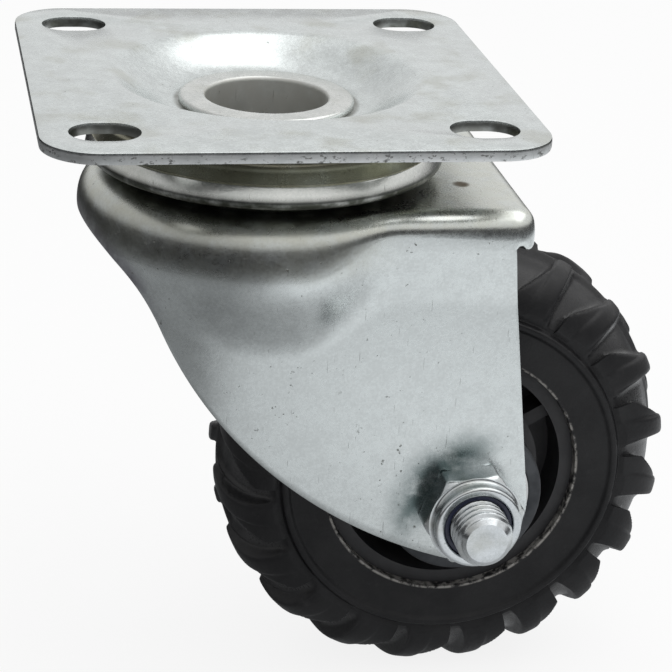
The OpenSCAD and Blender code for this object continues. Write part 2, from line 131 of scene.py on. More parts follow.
BOLT_R = 6
HEX_HALF = 9.5
HEAD_H = 7.5
THREAD_PITCH = 1.75
THREAD_DEPTH = 1.0
BOLT_END = -span("axle_bolt")[0][1]
NUT_TOP = LEG_Y + 6.4
NUT_TURN = math.radians(36)
COLLAR_R = 9.1
COLLAR_TOP = NUT_TOP + 3
INSERT_R = 7.2
INSERT_LOW = COLLAR_TOP - 2.4

TYRE_HALF = 16
TYRE_BORE_R = 27.5
RIM_LINE_R = 36.3
RIM_LINE_H = 0.7
CASING_R = WHEEL_R - 2.1
CASING_SIDE_R = 38.1
CASING_HALF = TYRE_HALF - 0.5
CASING_POWER = 2.5
TREAD_FLAT = 1.5
LUG_N = 20
LUG_TOP_W = 3.2
LUG_RAMP_W = 5.85
LUG_STEEP_W = 1.95
LUG_SIDE_H = 0.6
LUG_SLANT = math.radians(22)
LUG_TURN = math.radians(8)
LUG_PITCH = 2 * np.pi / LUG_N
HUB_R = 17
HUB_HALF = span("hub_tube")[1][1]
HUB_SEAT_R = 14.05
HUB_SEAT_L = 8
HUB_LIP_W = 2.2

CORNERS = np.array([[1, 1], [-1, 1], [-1, -1], [1, -1]])
CREASE = math.radians(38)
TYRE_CREASE = math.radians(60)


# Surfaces

def smooth_step(x, low, high):
    """Goes from 0 where x is low to 1 where it is high, as 3 s^2 - 2 s^3 of the share s of the way."""
    s = np.clip((x - low) / (high - low), 0, 1)
    return s * s * (3 - 2 * s)


def soft_min(a, b, reach):
    """The smaller of a and b, lowered by a parabola where they lie within reach of each other."""
    near = np.clip(reach - np.abs(a - b), 0, None) / reach
    return np.minimum(a, b) - near * near * reach / 4


def soft_max(a, b, reach):
    """The larger of a and b, raised by a parabola where they lie within reach of each other."""
    return -soft_min(-a, -b, reach)


def strip_faces(index, wrap=False):
    """Quads of a grid of point numbers; wrap joins its last column to its first."""
    if wrap:
        index = np.concatenate([index, index[:, :1]], 1)
    return np.stack([index[:-1, :-1], index[:-1, 1:], index[1:, 1:], index[1:, :-1]], -1).reshape(-1, 4)


def full_turn(sides):
    """Angles of a full turn in equal steps, as one row."""
    return np.linspace(0, 2 * np.pi, sides, endpoint=False)[None]


def carried_round(radius, height, turn):
    """Points at radius r and height z for every turn angle, as a grid of rows by angles."""
    radius, height, turn = np.broadcast_arrays(radius, height, turn)
    return np.stack([radius * np.cos(turn), radius * np.sin(turn), height], -1)


def numbered(grid):
    """Numbers of a grid's points, row after row."""
    return np.arange(grid.shape[0] * grid.shape[1]).reshape(grid.shape[:2])


def round_surface(radius, height, turn, loop=True):
    """Rows of radius r and height z carried round z; loop joins the last row to the first."""
    grid = carried_round(radius, height, turn)
    index = numbered(grid)
    if loop:
        index = np.concatenate([index, index[:1]])
    return grid.reshape(-1, 3), strip_faces(index, wrap=True)


def turned(section, sides=180):
    """A closed section of (r, z) points carried round z."""
    return round_surface(section[:, :1], section[:, 1:], full_turn(sides))


def on_axle(points, faces):
    """Lays a shape drawn round z along the axle, with its z towards the nut's side and its y up."""
    x, y, z = points.T
    return np.column_stack([AXLE_X + x, -z, AXLE_Z + y]), faces


def rounded_section(corners, steps=8):
    """A closed outline of (r, z, fillet) corners: each gives way to the curve (1-s)^2 start + 2s(1-s) corner
    + s^2 end, whose start and end lie one fillet length from the corner along its two sides."""
    corners = np.array(corners, float)
    spot, fillet = corners[:, None, :2], corners[:, None, 2:]
    back = np.roll(spot, 1, 0) - spot
    ahead = np.roll(spot, -1, 0) - spot
    start = spot + back / np.linalg.norm(back, axis=-1, keepdims=True) * fillet
    end = spot + ahead / np.linalg.norm(ahead, axis=-1, keepdims=True) * fillet
    s = np.linspace(0, 1, steps)[None, :, None]
    return ((1 - s) ** 2 * start + 2 * s * (1 - s) * spot + s ** 2 * end).reshape(-1, 2)


def ring_section(inner_r, outer_r, low, high, fillet):
    """Section of a flat ring with rounded edges."""
    sides = [(inner_r, low), (outer_r, low), (outer_r, high), (inner_r, high)]
    return rounded_section([(r, z, fillet) for r, z in sides])


def rounded_box_outline(length, width, corner_r, per_corner=24):
    """Outline of a box with round corners: four quarter circles, one after another, joined by its sides."""
    turn = np.linspace(0, np.pi / 2, per_corner) + np.arange(4)[:, None] * np.pi / 2
    middle = CORNERS[:, None] * (np.array([length, width]) / 2 - corner_r)
    return (middle + corner_r * np.stack([np.cos(turn), np.sin(turn)], -1)).reshape(-1, 2)


def hexagon_r(turn):
    """Distance from the middle to a hexagon's side: half its width over the cosine of the angle to the
    nearest flat, with its six edges rounded off by a soft minimum."""
    off_flat = (turn + np.pi / 6) % (np.pi / 3) - np.pi / 6
    edge_r = HEX_HALF / np.cos(np.pi / 6)
    return soft_min(HEX_HALF / np.cos(off_flat), edge_r - 0.05, 0.5)


def point_normals(points, faces):
    """Unit normal of each point: the sum of its faces' area vectors, made one long. A face's area vector is
    the sum of the cross products of its corners, each with the next."""
    corners = points[faces]
    area = np.cross(corners, np.roll(corners, -1, 1)).sum(1)
    normal = np.zeros_like(points)
    for corner in faces.T:
        np.add.at(normal, corner, area)
    return normal / np.maximum(np.linalg.norm(normal, axis=1, keepdims=True), 1e-12)


def pressed_sheet(points, faces, thickness, steps=7):
    """Gives an open sheet its thickness: a second sheet lies under it along the points' normals, and each
    free edge gets a rim that bulges out by SHEET_EDGE * (1 - u^4)^(1/4), with u from -1 to 1 across it."""
    count = len(points)
    normal = point_normals(points, faces)
    a, b = faces.ravel(), np.roll(faces, -1, 1).ravel()
    free = ~np.isin(a * count + b, b * count + a)
    a, b = a[free], b[free]
    ahead = points[b] - points[a]
    ahead /= np.linalg.norm(ahead, axis=1, keepdims=True)
    out = np.zeros_like(points)
    np.add.at(out, a, np.cross(ahead, normal[a]))
    np.add.at(out, b, np.cross(ahead, normal[b]))
    rim = np.unique(a)
    out = out[rim] / np.linalg.norm(out[rim], axis=1, keepdims=True)
    u = np.sin(np.linspace(-0.5, 0.5, steps)[1:-1, None, None] * np.pi)
    bulge = SHEET_EDGE * (1 - u ** 4) ** 0.25
    rings = points[rim] - thickness * (u + 1) / 2 * normal[rim] + bulge * out
    rows = 2 * count + np.arange(steps - 2)[:, None] * len(rim)
    start = np.concatenate([a[None], rows + np.searchsorted(rim, a), a[None] + count])
    end = np.concatenate([b[None], rows + np.searchsorted(rim, b), b[None] + count])
    side = np.stack([end[:-1], start[:-1], start[1:], end[1:]], -1).reshape(-1, 4)
    solid = np.concatenate([points, points - thickness * normal, rings.reshape(-1, 3)])
    return solid, faces.tolist() + (faces[:, ::-1] + count).tolist() + side.tolist()


# Top plate

def plate_height(r):
    """Height of the plate's upper face: flat, with a dish that falls from a marked rim to its floor, partly
    as a smooth step and partly as a parabola."""
    inward = np.clip((DISH_R - r) / (DISH_R - DISH_FLOOR_R), 0, 1)
    return -DISH_DEPTH * (0.65 * smooth_step(inward, 0, 1) + 0.35 * (2 * inward - inward ** 2))


def plate_solid():
    """The plate: its outline, its slots and rings round the dish, filled with triangles, lifted to the
    plate's height at each radius and given its thickness."""
    turn = full_turn(144)[0]
    hole_r = PLATE_HOLE_R + SHEET_EDGE
    slope_r = np.linspace(DISH_FLOOR_R - 0.5, DISH_R + 1, 22)
    ring_r = np.concatenate([[hole_r, KINGPIN_FLARE_R], slope_r])
    rings = ring_r[:, None, None] * np.stack([np.cos(turn), np.sin(turn)], -1)
    drawn_in = 2 * SHEET_EDGE
    outline = rounded_box_outline(PLATE_L - drawn_in, PLATE_W - drawn_in, PLATE_CORNER_R - SHEET_EDGE)
    slot_r = SLOT_W / 2 + SHEET_EDGE
    slot = rounded_box_outline(SLOT_L + drawn_in, SLOT_W + drawn_in, slot_r - 0.01)
    slot_middles = CORNERS * SLOT_SPACE / 2
    loops = [outline, *(slot + middle for middle in slot_middles), *rings]
    starts = np.cumsum([0] + [len(loop) for loop in loops])
    numbers = [start + np.arange(len(loop)) for start, loop in zip(starts, loops)]
    edges = np.concatenate([np.column_stack([number, np.roll(number, -1)]) for number in numbers])
    flat, _, faces, *_ = delaunay_2d_cdt(np.concatenate(loops).tolist(), edges.tolist(), [], 1, 1e-6)
    flat, faces = np.array(flat), np.array(faces)
    middle = flat[faces].mean(1)
    off_slot = np.abs(middle[:, None] - slot_middles) - [(SLOT_L - SLOT_W) / 2, 0]
    in_slot = np.linalg.norm(np.clip(off_slot, 0, None), axis=-1) < slot_r
    in_hole = np.linalg.norm(middle, axis=1) < hole_r - 0.1 * SHEET_EDGE
    height = plate_height(np.linalg.norm(flat, axis=1))
    return pressed_sheet(np.column_stack([flat, height]), faces[~in_slot.any(1) & ~in_hole], PLATE_T)


# Kingpin and ball race

def kingpin_section():
    """Hollow rivet: a flared ring on the dish, the tube and a turned-over foot."""
    foot_top = KINGPIN_LOW + KINGPIN_FOOT_T
    return rounded_section([
        (KINGPIN_BORE_R, FLARE_TOP, 1.0), (KINGPIN_FLARE_R, FLARE_TOP, 1.0),
        (KINGPIN_FLARE_R, -DISH_DEPTH, 0.2), (KINGPIN_R, -DISH_DEPTH, 0),
        (KINGPIN_R, foot_top, 0), (KINGPIN_FOOT_R, foot_top, 0.3),
        (KINGPIN_FOOT_R, KINGPIN_LOW, 0.9), (KINGPIN_BORE_R, KINGPIN_LOW, 0.6)])


def race_section():
    """Pressed race: it hugs the dish's underside, necks in below the plate, flares out over the dust ring
    and has a track for the balls below."""
    slope_r = np.linspace(DISH_FLOOR_R, DISH_R, 12)
    under_dish = np.column_stack([slope_r, plate_height(slope_r) - PLATE_T - FIT])
    seat_r = DUST_R - DUST_H - FIT
    neck_r = DISH_R + 0.5
    below = rounded_section([
        (DISH_R + 1.2, -PLATE_T - FIT, 0.3), (neck_r, -PLATE_T - 3.4, 1.2),
        (neck_r + 0.7, DUST_TOP + 2.4, 1.0), (RACE_R, DUST_TOP + FIT, 0.4),
        (seat_r, DUST_TOP + FIT, 0), (seat_r, RACE_LOW, 0),
        (UPPER_PITCH_R + 3, RACE_LOW, 0), (UPPER_PITCH_R + 2, RACE_LOW + 1.2, 0.6),
        (UPPER_PITCH_R, RACE_LOW + 1.9, 0.8),
        (UPPER_PITCH_R - 2, RACE_LOW + 1.2, 0.6), (UPPER_PITCH_R - 3, RACE_LOW, 0),
        (DISH_FLOOR_R, RACE_LOW, 0), (DISH_FLOOR_R, -DISH_DEPTH - PLATE_T - FIT, 0)])
    return np.concatenate([under_dish, below])


def dust_ring_section():
    """Pressed dust ring: a steep slope that turns under in a round edge."""
    low = DUST_TOP - DUST_H
    inner_r = DUST_R - DUST_H
    return rounded_section([
        (inner_r, DUST_TOP, 0.3), (DUST_R - 1.7, DUST_TOP, 0.6), (DUST_R + FIT, low + 1.3, 1.2),
        (DUST_R - 1.6, low, 0.8), (inner_r, low, 0.6)])


# Fork

def leg_low(x):
    """Lower edge of the fork seen from the side, drawn inwards by the rim's bulge: a hollow arc from the
    nose that touches the long front arc, which touches the round end."""
    arc = np.array([AXLE_X, AXLE_Z]) + LEG_ARC
    eye_r = LEG_EYE_R - SHEET_EDGE
    arc_r = np.hypot(*LEG_ARC) + eye_r
    hollow_r = HOLLOW_R + SHEET_EDGE
    nose = np.array([-CROWN_R - 1, NOSE_LOW])
    nose_len = np.linalg.norm(nose - arc)
    nose_way = (nose - arc) / nose_len
    hollow_run = ((arc_r + hollow_r) ** 2 - HOLLOW_R ** 2 + nose_len ** 2) / (2 * nose_len)
    hollow_aside = math.sqrt((arc_r + hollow_r) ** 2 - hollow_run ** 2)
    hollow_x, hollow_z = arc + nose_way * hollow_run + np.array([-nose_way[1], nose_way[0]]) * hollow_aside
    touch_x = arc[0] + (hollow_x - arc[0]) * arc_r / (arc_r + hollow_r)
    eye_x = AXLE_X - LEG_ARC[0] * eye_r / (arc_r - eye_r)
    hollow = hollow_z + np.sqrt(np.clip(hollow_r ** 2 - np.clip(x - hollow_x, 0, None) ** 2, 0, None))
    front = arc[1] - np.sqrt(np.clip(arc_r ** 2 - (x - arc[0]) ** 2, 0, None))
    eye = AXLE_Z - np.sqrt(np.clip(eye_r ** 2 - (x - AXLE_X) ** 2, 0, None))
    return np.where(x < touch_x, hollow, np.where(x < eye_x, front, eye))


def fork_columns():
    """Plan of the near half of the fork, from the middle of the nose to the middle of the rear flange: the
    place and outward direction of each column, its bend and skirt, how far its side steps in and over what
    height."""
    eye_r = LEG_EYE_R - SHEET_EDGE
    rear_top_x = AXLE_X + eye_r / math.cos(LEG_LEAN) + math.tan(LEG_LEAN) * (AXLE_Z - NOTCH_TOP)
    # round front, on rays from the kingpin's axis, with its side drawn in to the leg's plane
    degrees = np.linspace(180, 270, 72)
    turn = np.radians(degrees)
    ray = np.column_stack([np.cos(turn), np.sin(turn)])
    leg_plane = LEG_Y / np.maximum(-np.sin(turn), 1e-3)
    front_step = CROWN_R - soft_min(CROWN_R - NOSE_TUCK, leg_plane, 5)
    front_swing = NOSE_SWING_H + (SWING_H - NOSE_SWING_H) * smooth_step(degrees, 210, 265)
    # straight part along the legs, closer together where the round end turns up
    bunched = eye_r * (1 - np.cos(np.linspace(np.pi / 2, 0, 24)))
    leg_x = np.concatenate([np.linspace(0, rear_top_x - eye_r, 40)[1:-1], rear_top_x - bunched])
    corner_x, corner_y = REAR_X - REAR_CORNER_R, REAR_HALF - REAR_CORNER_R
    round_half = np.sqrt(np.clip(CROWN_R ** 2 - leg_x ** 2, 0, None))
    past_corner = np.clip(leg_x - corner_x, 0, None)
    straight = corner_y + np.sqrt(REAR_CORNER_R ** 2 - past_corner ** 2)
    leg_half = soft_max(round_half, straight, 3)
    leg_way = np.column_stack([past_corner, corner_y - straight]) / REAR_CORNER_R
    leg_swing = SWING_H + (REAR_STEP_H - SWING_H) * smooth_step(leg_x, 0, 26)
    lean = smooth_step(leg_x, 0, rear_top_x - eye_r)
    # rear corner and flange
    turn = np.linspace(math.asin(past_corner[-1] / REAR_CORNER_R), np.pi / 2, 12)[1:]
    corner_way = np.column_stack([np.sin(turn), -np.cos(turn)])
    corner = [corner_x, -corner_y] + REAR_CORNER_R * corner_way
    wall_y = np.linspace(-corner_y, 0, 26)[1:]
    wall = np.column_stack([np.full_like(wall_y, REAR_X), wall_y])
    wall_way = np.tile([1.0, 0.0], (len(wall_y), 1))
    # the bend is wide and drafted round the front, tight along the legs and drafted again at the rear corner
    place = np.concatenate([CROWN_R * ray, np.column_stack([leg_x, -leg_half]), corner, wall])
    rear = smooth_step(place[:, 0], 2, 22)
    corner_share = smooth_step(place[:, 0], 20, 48)
    bend = CROWN_BEND_R + (REAR_BEND_R - CROWN_BEND_R) * rear
    bend_turn = np.pi / 2 - CROWN_DRAFT * np.maximum(1 - rear, corner_share)
    bend_low = CROWN_TOP - bend * (1 - np.cos(bend_turn))
    skirt_h = np.minimum(CROWN_SKIRT_H * (1 - rear), bend_low - leg_low(place[:, 0]) - 1)
    skirt_h = np.maximum(skirt_h, LEAST_SKIRT_H + (REAR_SKIRT_H - LEAST_SKIRT_H) * corner_share)
    # top of the side, arched over the three columns of the notch between the leg and the flange
    leg_end = len(ray) + len(leg_x)
    across_notch = (np.arange(len(place)) - leg_end - 1) / 2
    notch = NOTCH_ARCH_H * np.sqrt(np.clip(1 - across_notch ** 2, 0, None))
    flat_end = np.zeros(len(corner) + len(wall))
    return {
        "place": place,
        "way": np.concatenate([ray, leg_way, corner_way, wall_way]),
        "side_way": np.concatenate([ray, np.tile([0.0, -1.0], (len(leg_x), 1)), corner_way, wall_way]),
        "step": np.concatenate([front_step, leg_half - LEG_Y, flat_end]),
        "swing": np.concatenate([front_swing, leg_swing, flat_end + REAR_STEP_H]),
        "lean": np.concatenate([np.zeros(len(ray)), lean, flat_end]),
        "bend": bend, "bend_turn": bend_turn, "skirt_h": skirt_h, "foot": bend_low - skirt_h,
        "side_top": np.minimum(bend_low - skirt_h - 0.3, NOTCH_TOP) + notch,
        "leg_end": leg_end, "flange_start": leg_end + 3}


def fork_side(columns, height):
    """Points of the fork's side at given heights: each column steps in by an S-curve below its skirt, and
    the rear columns lean back with the leg's rear edge."""
    inward = columns["step"] * smooth_step(columns["foot"] - height, 0, columns["swing"])
    back = columns["lean"] * math.tan(LEG_LEAN) * np.clip(NOTCH_TOP - height, 0, None)
    x = columns["place"][:, 0] - inward * columns["side_way"][:, 0] + back
    y = columns["place"][:, 1] - inward * columns["side_way"][:, 1]
    return np.stack([x, y, np.broadcast_to(height, x.shape)], -1)


def fork_low(columns):
    """Height that each column runs down to: the lower edge, found by halving the span between two heights,
    or the rear flange's low line, which rises in a round at each end."""
    high = columns["side_top"].copy()
    low = np.full_like(high, AXLE_Z - LEG_EYE_R - 1)
    for _ in range(40):
        middle = (high + low) / 2
        inside = middle > leg_low(fork_side(columns, middle)[:, 0])
        high, low = np.where(inside, middle, high), np.where(inside, low, middle)
    high[columns["leg_end"] - 1] = AXLE_Z + LEG_EYE_R * math.sin(LEG_LEAN)
    flange = columns["place"][columns["flange_start"]:]
    from_end = np.hypot(*(flange - flange[0]).T)
    end_rise = 1.2 * (1 - smooth_step(from_end, 0, 2.2)) ** 2
    high[columns["flange_start"]:] = REAR_LOW + SHEET_EDGE + end_rise
    return high


def land_height(r):
    """Height of the crown's land: level, pressed down along the upper balls' circle and up along the lower
    balls', and falling to the crown's flat at its rim."""
    upper = np.sqrt(np.clip(UPPER_TRACK_R ** 2 - (r - UPPER_PITCH_R) ** 2, 0, None))
    lower = np.sqrt(np.clip(LOWER_TRACK_R ** 2 - (r - LOWER_PITCH_R) ** 2, 0, None))
    height = np.minimum(LAND_TOP, LAND_TOP + UPPER_TRACK_RISE - upper)
    height = np.maximum(height, LAND_TOP - LOWER_TRACK_DROP + lower)
    return height + (CROWN_TOP - LAND_TOP) * smooth_step(r, LAND_R - LAND_SLOPE_W, LAND_R)


def fork_top(columns):
    """Crown rows from the bore outwards: the raised land, the flat, the bend, a short skirt whose slope falls
    evenly from the draft angle to nothing, and the side's first row."""
    bend, bend_turn, skirt_h = columns["bend"], columns["bend_turn"], columns["skirt_h"]
    draft = np.cos(bend_turn) / np.sin(bend_turn)
    turn = np.linspace(0, 1, 13)[1:, None] * bend_turn
    down = np.linspace(0, 1, 8)[1:, None]
    skirt_out = bend * np.sin(bend_turn) + draft * skirt_h * (down - down ** 2 / 2)
    skirt_drop = bend * (1 - np.cos(bend_turn)) + skirt_h * down
    out = np.concatenate([bend * np.sin(turn), skirt_out])
    drop = np.concatenate([bend * (1 - np.cos(turn)), skirt_drop])
    inner = columns["place"] - out[-1][:, None] * columns["way"]
    angle = np.arctan2(inner[:, 1], inner[:, 0])[None]
    land_r = np.concatenate([[FORK_BORE_R + SHEET_EDGE], np.linspace(FORK_BORE_R + 1.4, LAND_R, 26)])[:, None]
    land = carried_round(land_r, land_height(land_r), angle)
    rim = carried_round(LAND_R, CROWN_TOP, angle)[0]
    share = np.linspace(0, 1, 9)[1:, None, None]
    flat = rim + share * (np.column_stack([inner, np.full(len(inner), CROWN_TOP)]) - rim)
    shoulder = np.stack([inner[:, 0] + out * columns["way"][:, 0],
                         inner[:, 1] + out * columns["way"][:, 1],
                         CROWN_TOP - drop], -1)
    return np.concatenate([land, flat, shoulder, fork_side(columns, columns["side_top"])[None]])


def fork_sheet():
    """Outer face of the fork: the crown all round, then the sides under the nose and legs, and the short
    rear flange, which has only the first rows of its columns. The far half mirrors the near half."""
    columns = fork_columns()
    crown = fork_top(columns)
    share = np.linspace(0, 1, 56)[1:, None] ** 1.3
    heights = columns["side_top"] + share * (fork_low(columns) - columns["side_top"])
    side = np.stack([fork_side(columns, height) for height in heights])
    near = np.concatenate([crown, side])
    nose = near.shape[1] - 1
    whole = np.concatenate([near[:, nose - 1:0:-1] * [1, -1, 1], near], 1)
    index = numbered(whole)[:, ::-1]
    side_start = len(crown) - 1
    flange_end = side_start + 13
    leg = np.arange(nose - columns["leg_end"] + 1, nose + columns["leg_end"])
    flange = np.arange(nose + columns["flange_start"], nose + whole.shape[1] - columns["flange_start"] + 1)
    faces = np.concatenate([
        strip_faces(index[:len(crown)], wrap=True),
        strip_faces(index[side_start:, leg]),
        strip_faces(index[side_start:flange_end, flange % whole.shape[1]])])
    return whole.reshape(-1, 3), faces


def fork_solid():
    """The fork's sheet with its axle holes, given its thickness."""
    points, faces = fork_sheet()
    middle = points[faces].mean(1)
    hole = np.hypot(middle[:, 0] - AXLE_X, middle[:, 2] - AXLE_Z) < BOLT_R
    used, faces = np.unique(faces[~hole], return_inverse=True)
    return pressed_sheet(points[used], faces.reshape(-1, 4), FORK_T)


# Axle bolt and nut

def bolt_surface(sides=120):
    """Bolt along z: a chamfered hexagon head, the shank, a thread whose radius falls by a wave of
    (z / pitch - turn) and a chamfered end; both ends close in a point."""
    turn = full_turn(sides)
    head_z = -LEG_Y - HEAD_H
    face = np.array([[0.0, head_z + 0.1], [HEX_HALF * 0.55, head_z + 0.1], [HEX_HALF - 0.6, head_z]])
    side_z = np.linspace(head_z + 0.15, -LEG_Y, 12)[:, None]
    side_r = soft_min(hexagon_r(turn), HEX_HALF - 0.3 + (side_z - head_z) * 1.6, 0.5)
    shank = np.array([[BOLT_R, -LEG_Y], [BOLT_R, NUT_TOP]])
    thread_z = np.linspace(NUT_TOP + 0.2, BOLT_END, 96)[:, None]
    phase = (thread_z / THREAD_PITCH - turn / (2 * np.pi)) % 1
    wave = smooth_step(np.abs(2 * phase - 1), 0.12, 0.88)
    chamfer_r = BOLT_R - 1.7 + (BOLT_END - thread_z) * 1.1
    thread_r = soft_min(BOLT_R - THREAD_DEPTH * (1 - wave), chamfer_r, 0.35)
    end_share = np.array([[0.8], [0.5], [0.0]])
    end_z = BOLT_END + np.array([[0.05], [-0.05], [-0.15]])
    face_r, shank_r = (np.repeat(rows[:, :1], sides, 1) for rows in (face, shank))
    radius = np.concatenate([face_r, side_r, shank_r, thread_r, end_share * thread_r[-1:]])
    height = np.concatenate([face[:, 1:], side_z, shank[:, 1:], thread_z, end_z])
    return round_surface(radius, height, turn, loop=False)


def nut_surface(sides=144):
    """Lock nut round z: a chamfered hexagon, a fillet up to a round collar and the collar's rolled-in lip."""
    turn = full_turn(sides)
    side_z = np.linspace(LEG_Y, NUT_TOP, 16)[:, None]
    chamfer = HEX_HALF - 0.1 + (NUT_TOP - side_z) * 1.55
    foot = HEX_HALF + 0.7 + (side_z - LEG_Y) * 3
    side_r = soft_min(soft_min(hexagon_r(turn - NUT_TURN), chamfer, 0.6), foot, 0.5)
    collar = rounded_section([
        (COLLAR_R + 0.9, NUT_TOP, 0.2), (COLLAR_R, NUT_TOP, 0.8), (COLLAR_R, COLLAR_TOP, 0.8),
        (INSERT_R, COLLAR_TOP - 0.1, 0.4), (INSERT_R, INSERT_LOW, 0), (BOLT_R + FIT, INSERT_LOW, 0),
        (BOLT_R + FIT, LEG_Y, 0)])
    radius = np.concatenate([side_r, np.repeat(collar[:, :1], sides, 1)])
    return round_surface(radius, np.concatenate([side_z, collar[:, 1:]]), turn)


# Wheel

def casing_r(z):
    """Radius of the casing between the lugs: it falls from the middle to the sides by a power of |z|."""
    return CASING_R - (CASING_R - CASING_SIDE_R) * np.clip(np.abs(z) / CASING_HALF, 0, 1) ** CASING_POWER


def envelope_r(z):
    """Radius of the lugs' outer envelope: level in the middle, then falling as sqrt(1 - s^3) to the shoulder,
    with s from 0 to 1 over the way to the side."""
    shoulder_r = CASING_SIDE_R + 0.9
    s = np.clip((np.abs(z) - TREAD_FLAT) / (TYRE_HALF - TREAD_FLAT), 0, 1)
    return shoulder_r + (WHEEL_R - shoulder_r) * np.sqrt(1 - s ** 3)


def lug_flank(y):
    """Radius at which a lug's flanks pass a distance y from its middle line, square to its run: a steep flank
    before it, and behind it a ramp that runs out at about 45 degrees."""
    half = LUG_TOP_W / 2
    foot, mid, top = CASING_SIDE_R - 2, (CASING_R + CASING_SIDE_R) / 2, WHEEL_R + 2
    place = [-half - LUG_STEEP_W, -half - 0.4 * LUG_STEEP_W, -half, half, half + 0.1 * LUG_RAMP_W,
             half + 0.77 * LUG_RAMP_W, half + LUG_RAMP_W]
    return np.interp(y, place, [foot, mid, top, top, CASING_R + 0.5, mid, foot])


def lug_columns():
    """Turn of a lug's columns from its middle line, from places on a circle: before the line they are close
    together on the steep flank, and behind it they grow slowly apart up to half a pitch."""
    lug_r = 47
    flank = np.linspace(-3.2, -2.0, 9)
    behind = [0, 1.0, 1.6, 2.0, 2.4, 2.8, 3.2, 3.7, 4.2, 4.8, 5.4, 6.0, 6.6, 7.1, LUG_PITCH * lug_r / 2]
    places = [-6.8, -6.0, -5.2, -4.6, -4.1, -3.7, -3.4, *flank, -1.8, -1.5, -1.0, *behind]
    return np.array(places) / lug_r


def tread_radius(z, y):
    """Radius of the tread at a distance z from the wheel's middle plane and y from a lug's middle line: the
    greater of the casing's radius and the lesser of the lugs' envelope and flanks, with soft edges. A lug's
    top is worn round at its edges, its steep flank has a hollow foot, and the tread's middle is one level
    ring."""
    worn = 0.7 * (1 - np.sqrt(1 - np.clip((np.abs(y) - 0.9) / 1.15, 0, 1) ** 2))
    foot = 0.9 * np.clip((y + 3.9) / 1.4, 0, 1) ** 2 * (y < 0)
    lug = soft_min(envelope_r(z) - worn, lug_flank(y), 0.4)
    middle_r = CASING_R + 1.2
    off_middle = smooth_step(np.abs(z), 0, 2.4)
    return middle_r + (soft_max(casing_r(z) + foot, lug, 1.0) - middle_r) * off_middle


def tyre_surface():
    """Tyre round z: sidewalls with a raised rim line and the tread. The tread's columns run slantwise in a
    chevron, y = tan(slant) (|z| - half / 2), along the lugs, which are half a pitch apart on the two halves;
    in the middle the columns are evenly spaced."""
    spread = lug_columns()
    column = np.arange(LUG_N * len(spread))
    across = np.linspace(1, -1, 73)[:, None]
    far = across < 0
    shifted = column + np.where(far, len(spread) // 2, 0)
    lug_turn = LUG_TURN + shifted // len(spread) * LUG_PITCH - np.where(far, LUG_PITCH / 2, 0)
    off_lug = spread[shifted % len(spread)]
    side_y = off_lug * (CASING_SIDE_R + 1.9) * math.cos(LUG_SLANT)
    raised = smooth_step(lug_flank(side_y), CASING_SIDE_R, CASING_SIDE_R + 2)
    z = (TYRE_HALF - LUG_SIDE_H * (1 - raised)) * np.sin(np.pi / 2 * across)
    mean_r = (casing_r(z) + envelope_r(z)) / 2
    tread_r = tread_radius(z, off_lug * mean_r * math.cos(LUG_SLANT))
    slope = math.tan(LUG_SLANT)
    slanted = lug_turn + off_lug + slope * (np.abs(z) - TYRE_HALF / 2) / mean_r
    even = LUG_TURN + (column / len(spread) - 0.5) * LUG_PITCH - slope * TYRE_HALF / 2 / WHEEL_R
    angle = even + (slanted - even) * smooth_step(np.abs(z), 0, 3)
    # near sidewall from the bore outwards; the last two corners only give its ends their direction
    wall = rounded_section([
        (TYRE_BORE_R, TYRE_HALF, 0.25), (RIM_LINE_R - 1.3, TYRE_HALF, 0.4),
        (RIM_LINE_R - 0.6, TYRE_HALF + RIM_LINE_H, 0.4), (RIM_LINE_R + 0.5, TYRE_HALF + RIM_LINE_H, 0.4),
        (RIM_LINE_R + 1.0, TYRE_HALF - 0.7, 0.4), (RIM_LINE_R + 1.5, TYRE_HALF - 0.7, 0.2),
        (TYRE_BORE_R, TYRE_HALF - 4, 0)], steps=5)[:-10]
    wall_r, wall_z = (np.repeat(wall[:, i:i + 1], len(column), 1) for i in (0, 1))
    radius = np.concatenate([wall_r, tread_r, wall_r[::-1]])
    height = np.concatenate([wall_z, z, -wall_z[::-1]])
    turn = np.concatenate([np.repeat(angle[:1], len(wall), 0), angle, np.repeat(angle[-1:], len(wall), 0)])
    grid = carried_round(radius, height, turn)
    index = numbered(grid)
    return grid.reshape(-1, 3), np.concatenate([strip_faces(index, wrap=True), bore_faces(grid, index)])


def bore_faces(grid, index):
    """Quads of the tyre's bore: each point of its far edge joins the near edge's point nearest in turn."""
    turn = np.arctan2(grid[:, 0, 1], grid[:, 0, 0])
    apart = (turn[-1] - turn[0] + np.pi) % (2 * np.pi) - np.pi
    ahead = int(round(apart / (2 * np.pi) * index.shape[1]))
    return strip_faces(np.stack([index[-1], np.roll(index[0], -ahead)]), wrap=True)


def hub_section():
    """Hub tube with a bearing seat in each end."""
    seat = HUB_HALF - HUB_SEAT_L
    lip_r = HUB_SEAT_R - HUB_LIP_W
    return rounded_section([
        (HUB_SEAT_R, HUB_HALF, 0.5), (HUB_R, HUB_HALF, 0.7), (HUB_R, -HUB_HALF, 0.7),
        (HUB_SEAT_R, -HUB_HALF, 0.5), (HUB_SEAT_R, -seat, 0), (lip_r, -seat, 0), (lip_r, seat, 0),
        (HUB_SEAT_R, seat, 0)])


# Finishes

